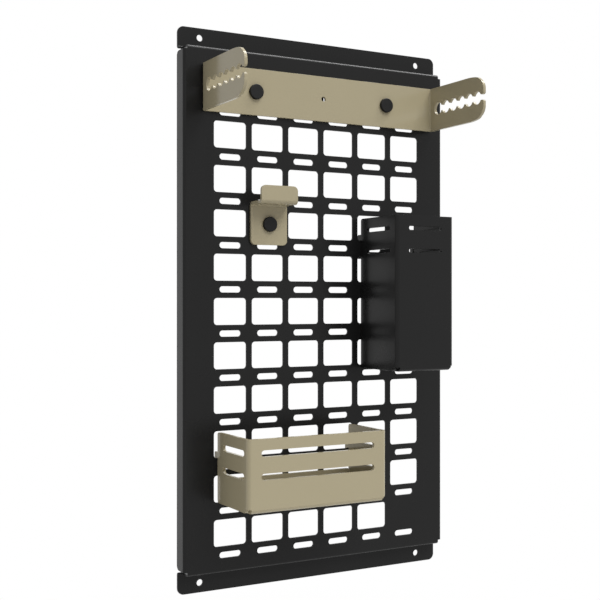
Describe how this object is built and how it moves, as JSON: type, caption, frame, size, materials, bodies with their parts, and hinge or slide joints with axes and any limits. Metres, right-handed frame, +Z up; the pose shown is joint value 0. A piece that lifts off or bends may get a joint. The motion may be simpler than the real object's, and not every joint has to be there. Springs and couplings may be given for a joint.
{
  "type": "wall organiser panel",
  "caption": "Black folded-steel wall panel with a grid of webbing windows, holding a bracket with notched arms, a small hook, a tall bin and an open tray.",
  "frame": {"origin": "On the wall plane: the flat back of the top flange, midway between its two screw holes", "axes": "+X right as seen from the front, +Y into the wall, +Z up"},
  "size_m": [0.2814, 0.1035, 0.5117],
  "materials": {
    "black_coat": "satin black powder coat on folded steel sheet",
    "tan_coat": "satin desert-tan powder coat on folded steel sheet",
    "black_nylon": "moulded black nylon, semi-matte",
    "zinc_plate": "bright zinc-plated steel"
  },
  "bodies": {
    "panel": {"wall_panel": "black_coat", "arm_bracket": "tan_coat", "hook": "tan_coat", "left_bracket_clamp_plate": "zinc_plate", "right_bracket_clamp_plate": "zinc_plate", "hook_clamp_plate": "zinc_plate", "left_bracket_washer": "zinc_plate", "right_bracket_washer": "zinc_plate", "hook_washer": "zinc_plate", "left_bracket_nut": "zinc_plate", "right_bracket_nut": "zinc_plate", "hook_nut": "zinc_plate"},
    "bin": {"bin": "black_coat"},
    "tray": {"tray": "tan_coat"},
    "left_bracket_screw": {"left_bracket_knob": "black_nylon", "left_bracket_stud": "zinc_plate"},
    "right_bracket_screw": {"right_bracket_knob": "black_nylon", "right_bracket_stud": "zinc_plate"},
    "hook_screw": {"hook_knob": "black_nylon", "hook_stud": "zinc_plate"}
  },
  "joints": [
    {"name": "bin_lift", "type": "slide", "parent": "panel", "child": "bin", "axis": [0, 0, 1], "range_m": [0, 0.018]},
    {"name": "tray_lift", "type": "slide", "parent": "panel", "child": "tray", "axis": [0, 0, 1], "range_m": [0, 0.018]},
    {"name": "left_bracket_screw_turn", "type": "hinge", "parent": "panel", "child": "left_bracket_screw", "pos_m": [-0.07095, -0.0226, -0.04745], "axis": [0, 1, 0], "continuous": true},
    {"name": "right_bracket_screw_turn", "type": "hinge", "parent": "panel", "child": "right_bracket_screw", "pos_m": [0.07095, -0.0226, -0.04745], "axis": [0, 1, 0], "continuous": true},
    {"name": "hook_screw_turn", "type": "hinge", "parent": "panel", "child": "hook_screw", "pos_m": [-0.057, -0.0226, -0.16805], "axis": [0, 1, 0], "continuous": true}
  ]
}
